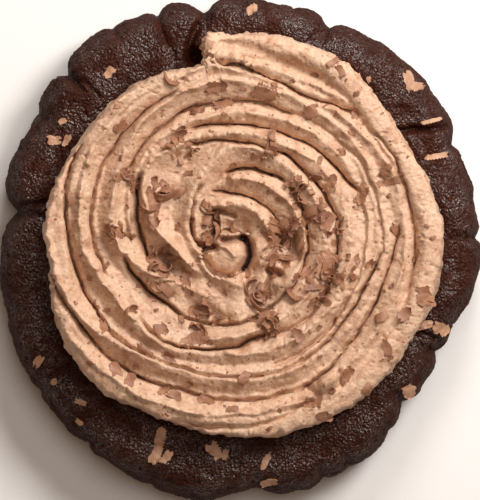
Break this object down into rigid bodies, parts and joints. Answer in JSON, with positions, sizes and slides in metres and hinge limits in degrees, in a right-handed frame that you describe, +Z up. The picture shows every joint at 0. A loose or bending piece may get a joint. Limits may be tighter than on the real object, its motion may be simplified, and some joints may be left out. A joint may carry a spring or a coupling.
{
  "type": "chocolate cake cookie",
  "caption": "Thick round chocolate cake cookie with a craggy lobed rim, topped with a piped buttercream swirl and chocolate shavings.",
  "frame": {"origin": "centre of the cookie's bounding box, on the flat underside it rests on", "axes": "+Z up out of the frosted face; +Y towards the blunt tail of the piped swirl, +X to its right seen from above"},
  "size_m": [0.1062, 0.1099, 0.0304],
  "materials": {
    "cookie": "baked dark chocolate crumb, dull with a faint oily shine",
    "frosting": "whipped chocolate buttercream, satin, with matte milk chocolate shavings"
  },
  "bodies": {
    "root": {"cookie": "cookie", "frosting": "frosting"}
  },
  "joints": []
}
